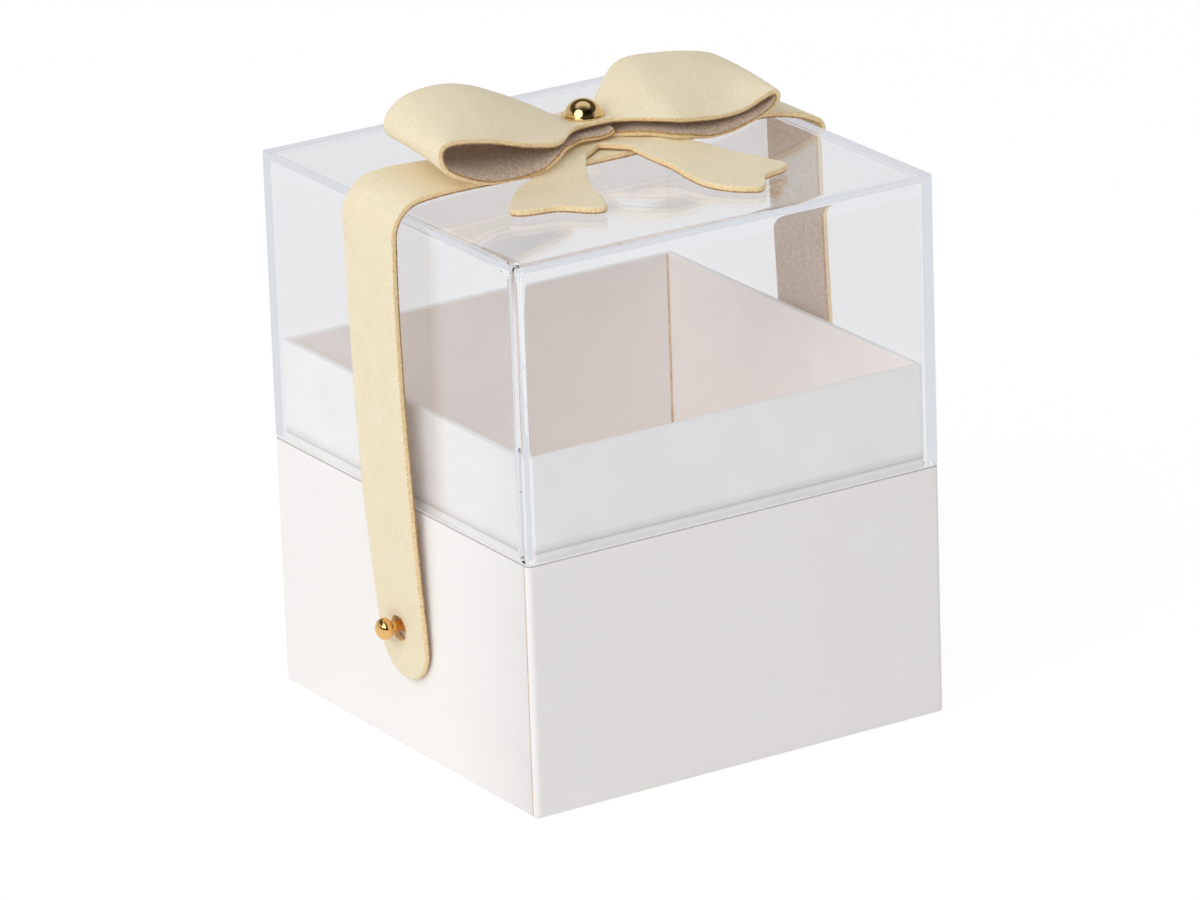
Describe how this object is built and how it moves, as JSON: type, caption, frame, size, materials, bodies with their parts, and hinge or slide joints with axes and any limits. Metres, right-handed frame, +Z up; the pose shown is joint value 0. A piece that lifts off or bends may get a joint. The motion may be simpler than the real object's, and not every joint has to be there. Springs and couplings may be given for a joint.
{
  "type": "favor box",
  "caption": "Square paper-covered gift box with a clear drop-over lid on an inner collar, held shut by a leather strap with a riveted bow that buttons over a ball stud on each side.",
  "frame": {"origin": "centre of the base's footprint, on the surface the box stands on", "axes": "+Z up; X along the strap, from the left stud to the right stud; -Y towards the front, the side that the bow's tails point to"},
  "size_m": [0.1138, 0.1, 0.1374],
  "materials": {
    "greyboard": "raw greyboard",
    "stay_paper": "gummed kraft paper",
    "wrap_paper": "matte off-white covering paper",
    "collar_board": "matte white lined board",
    "liner_paper": "matte off-white paper",
    "clear_sheet": "clear polished acrylic",
    "cream_leather": "fine-grained cream leather with raw cut edges",
    "gold_brass": "polished gold",
    "screw_steel": "plated, satin"
  },
  "bodies": {
    "base": {"tray_board": "greyboard", "corner_stays": "stay_paper", "outer_wrap": "wrap_paper", "bottom_sheet": "wrap_paper", "collar": "collar_board", "floor_liner": "liner_paper", "left_stud": "gold_brass", "right_stud": "gold_brass", "left_stud_screw": "screw_steel", "right_stud_screw": "screw_steel"},
    "lid": {"lid_top": "clear_sheet", "lid_front": "clear_sheet", "lid_back": "clear_sheet", "lid_left": "clear_sheet", "lid_right": "clear_sheet"},
    "strap": {"strap_top": "cream_leather", "bow_left_loop": "cream_leather", "bow_right_loop": "cream_leather", "bow_tails": "cream_leather", "bow_rivet_cap": "gold_brass", "bow_rivet_screw": "gold_brass"},
    "left_leg": {"strap_left_leg": "cream_leather"},
    "right_leg": {"strap_right_leg": "cream_leather"}
  },
  "joints": [
    {"name": "lid_lift", "type": "slide", "parent": "base", "child": "lid", "axis": [0, 0, 1], "range_m": [0, 0.025]},
    {"name": "strap_lift", "type": "slide", "parent": "base", "child": "strap", "axis": [0, 0, 1], "range_m": [0, 0.0275]},
    {"name": "left_leg_swing", "type": "hinge", "parent": "strap", "child": "left_leg", "pos_m": [-0.0546, 0, 0.1136], "axis": [0, 1, 0], "range_deg": [0, 120]},
    {"name": "right_leg_swing", "type": "hinge", "parent": "strap", "child": "right_leg", "pos_m": [0.0516, 0, 0.1136], "axis": [0, -1, 0], "range_deg": [0, 120]}
  ],
  "couplings": [
    {"joint": "strap_lift", "follows": "lid_lift", "ratio": 1.1},
    {"joint": "left_leg_swing", "follows": "lid_lift", "rad_per_m": 83.7},
    {"joint": "right_leg_swing", "follows": "lid_lift", "rad_per_m": 83.7}
  ]
}
